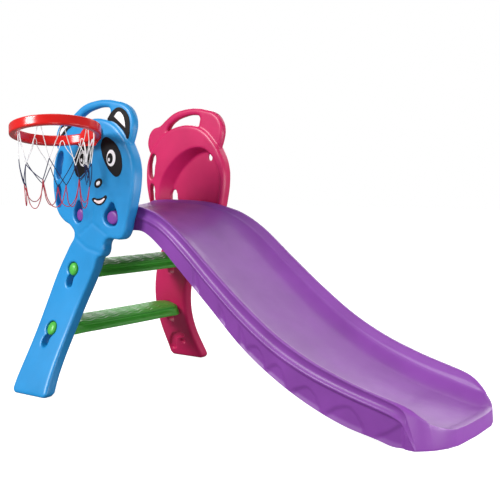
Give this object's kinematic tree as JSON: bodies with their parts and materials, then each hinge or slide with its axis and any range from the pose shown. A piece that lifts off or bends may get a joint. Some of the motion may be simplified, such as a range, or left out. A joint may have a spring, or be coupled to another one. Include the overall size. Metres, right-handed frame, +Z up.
{
  "type": "toddler slide",
  "caption": "Small indoor slide for toddlers: animal-head side panels with carrying handles, steps between them, a curved chute and a removable toy hoop with a net.",
  "frame": {"origin": "middle of the bounding box at floor level", "axes": "+X towards the chute's exit, +Z up, the hoop and the printed face on the -Y side"},
  "size_m": [1.232, 0.8331, 0.8203],
  "materials": {
    "blue_plastic": "satin moulded surface",
    "pink_plastic": "satin moulded surface",
    "purple_plastic": "satin moulded surface",
    "green_plastic": "satin moulded surface",
    "red_plastic": "glossy moulded surface",
    "white_cord": "twisted cord",
    "navy_cord": "twisted cord",
    "red_cord": "twisted cord",
    "printed_vinyl": "printed black and white vinyl"
  },
  "bodies": {
    "slide": {"left_side_panel": "blue_plastic", "right_side_panel": "pink_plastic", "slide_chute": "purple_plastic", "lower_step": "green_plastic", "upper_step": "green_plastic", "sticker_front_eye": "printed_vinyl", "sticker_rear_eye": "printed_vinyl", "sticker_nose": "printed_vinyl", "sticker_mouth": "printed_vinyl", "sticker_front_ear": "printed_vinyl", "sticker_rear_ear": "printed_vinyl"},
    "hoop": {"hoop_ring": "red_plastic", "net_white_cords": "white_cord", "net_navy_cords": "navy_cord", "net_red_cords": "red_cord"}
  },
  "joints": [
    {"name": "hoop_pull_out", "type": "slide", "parent": "slide", "child": "hoop", "axis": [0, -1, 0], "range_m": [0, 0.03]}
  ]
}
